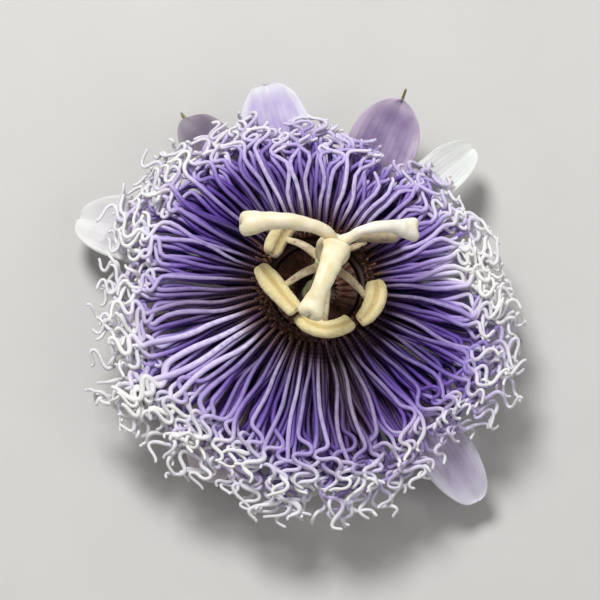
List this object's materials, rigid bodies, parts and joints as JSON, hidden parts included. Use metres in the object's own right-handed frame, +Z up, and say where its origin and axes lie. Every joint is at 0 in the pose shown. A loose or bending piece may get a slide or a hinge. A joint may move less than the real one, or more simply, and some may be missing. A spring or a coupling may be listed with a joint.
{
  "type": "passion flower",
  "caption": "Passion flower picked on a short stalk and laid face up: pale tepals, wheels of crimped violet corona threads, a leaning column with stamens and styles",
  "frame": {"origin": "on the surface the flower lies on, under the middle of its bounding box", "axes": "+Z is up, the way the flower faces and its shortest extent; the column leans to the side between +X and +Y"},
  "size_m": [0.0804, 0.083, 0.0376],
  "materials": {
    "stalk": "satin green plant stem",
    "bract": "matt green leaf",
    "cup": "satin fleshy green",
    "sepal": "matt, mauve above and green below",
    "petal": "matt, pale lavender, slightly see-through",
    "corona_threads": "satin threads, violet with cream-white tips",
    "throat": "satin dark maroon",
    "column": "satin pale green, waxy",
    "style": "satin cream, waxy",
    "anther": "powdery yellow pollen"
  },
  "bodies": {
    "root": {"androgynophore": "column", "anther_1": "anther", "anther_2": "anther", "anther_3": "anther", "anther_4": "anther", "anther_5": "anther", "bract_1": "bract", "bract_2": "bract", "bract_3": "bract", "filament_1": "column", "filament_2": "column", "filament_3": "column", "filament_4": "column", "filament_5": "column", "inner_corona": "throat", "middle_corona": "corona_threads", "operculum": "throat", "outer_corona": "corona_threads", "ovary": "column", "petal_1": "petal", "petal_2": "petal", "petal_3": "petal", "petal_4": "petal", "petal_5": "petal", "receptacle": "cup", "sepal_1": "sepal", "sepal_2": "sepal", "sepal_3": "sepal", "sepal_4": "sepal", "sepal_5": "sepal", "stalk": "stalk", "style_1": "style", "style_2": "style", "style_3": "style"}
  },
  "joints": []
}
